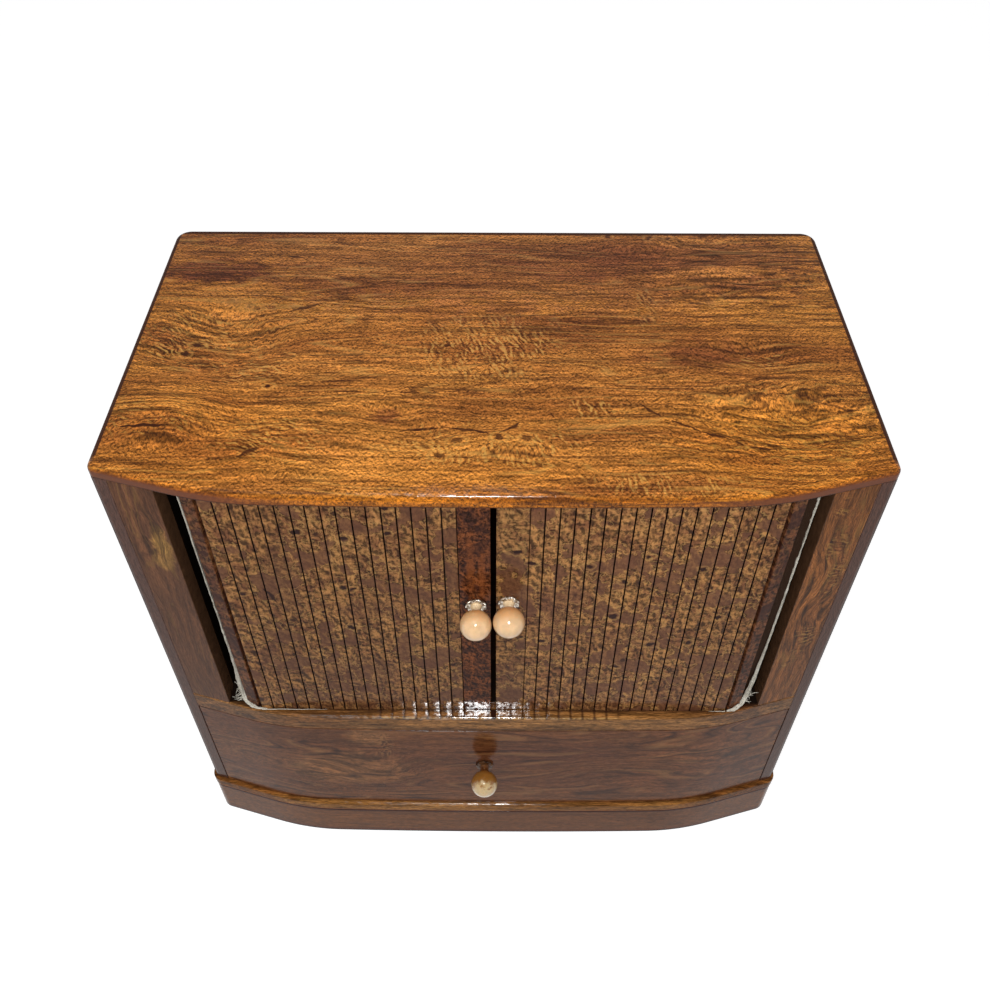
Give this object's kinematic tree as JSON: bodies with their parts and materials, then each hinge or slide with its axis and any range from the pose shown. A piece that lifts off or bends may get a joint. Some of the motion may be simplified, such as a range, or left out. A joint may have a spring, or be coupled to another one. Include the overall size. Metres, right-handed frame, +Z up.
{
  "type": "miniature chest",
  "caption": "Small bow-front cabinet of polished veneer with sliding tambour doors on ball knobs above a drawer, on a moulded plinth.",
  "frame": {"origin": "middle of the whole object's footprint, door knobs and drawer knob included, on the surface it stands on", "axes": "+Z up, +X to the viewer's right, -Y towards the front with the doors and the drawer"},
  "size_m": [0.3036, 0.189, 0.27],
  "materials": {
    "top_wood": "high-gloss french polish over figured veneer",
    "side_wood": "high-gloss french polish",
    "stile_wood": "high-gloss french polish",
    "rail_wood": "high-gloss french polish",
    "bead_wood": "high-gloss french polish",
    "plinth_wood": "high-gloss french polish",
    "slat_wood": "polished burr veneer",
    "lead_wood": "polished",
    "tail_wood": "polished",
    "drawer_face_wood": "high-gloss french polish over crossbanded veneer",
    "inside_wood": "bare wood, waxed",
    "canvas": "plain unbleached canvas",
    "ivory_ball": "glossy cream, turned",
    "amber_ball": "glossy amber, turned",
    "neck_metal": "worn plated brass",
    "screw_brass": "dull brass"
  },
  "bodies": {
    "case": {"top_board": "top_wood", "left_side": "side_wood", "right_side": "side_wood", "left_stile": "stile_wood", "right_stile": "stile_wood", "front_rail": "rail_wood", "base_board": "bead_wood", "plinth_front": "plinth_wood", "plinth_left": "plinth_wood", "plinth_right": "plinth_wood", "plinth_back": "plinth_wood", "left_slats": "slat_wood", "right_slats": "slat_wood", "left_tail_slat": "tail_wood", "right_tail_slat": "tail_wood", "back_panel": "inside_wood", "back_screws": "screw_brass", "shelf_board": "inside_wood", "left_liner": "inside_wood", "right_liner": "inside_wood", "plinth_blocks": "inside_wood", "drawer_stops": "inside_wood", "left_canvas": "canvas", "right_canvas": "canvas"},
    "left_door": {"left_lead_stile": "lead_wood", "left_knob_ball": "ivory_ball", "left_knob_neck": "neck_metal", "left_knob_screw": "screw_brass"},
    "right_door": {"right_lead_stile": "lead_wood", "right_knob_ball": "ivory_ball", "right_knob_neck": "neck_metal", "right_knob_screw": "screw_brass"},
    "drawer": {"drawer_front": "drawer_face_wood", "drawer_left_side": "inside_wood", "drawer_right_side": "inside_wood", "drawer_back": "inside_wood", "drawer_bottom": "inside_wood", "drawer_knob_ball": "amber_ball", "drawer_knob_neck": "neck_metal", "drawer_knob_screw": "screw_brass"}
  },
  "joints": [
    {"name": "left_door_slide", "type": "slide", "parent": "case", "child": "left_door", "axis": [-1, 0, 0], "range_m": [0, 0.0926], "deforming": ["left_slats", "left_tail_slat", "left_canvas"]},
    {"name": "right_door_slide", "type": "slide", "parent": "case", "child": "right_door", "axis": [1, 0, 0], "range_m": [0, 0.0926], "deforming": ["right_slats", "right_tail_slat", "right_canvas"]},
    {"name": "drawer_slide", "type": "slide", "parent": "case", "child": "drawer", "axis": [0, -1, 0], "range_m": [0, 0.105]}
  ]
}
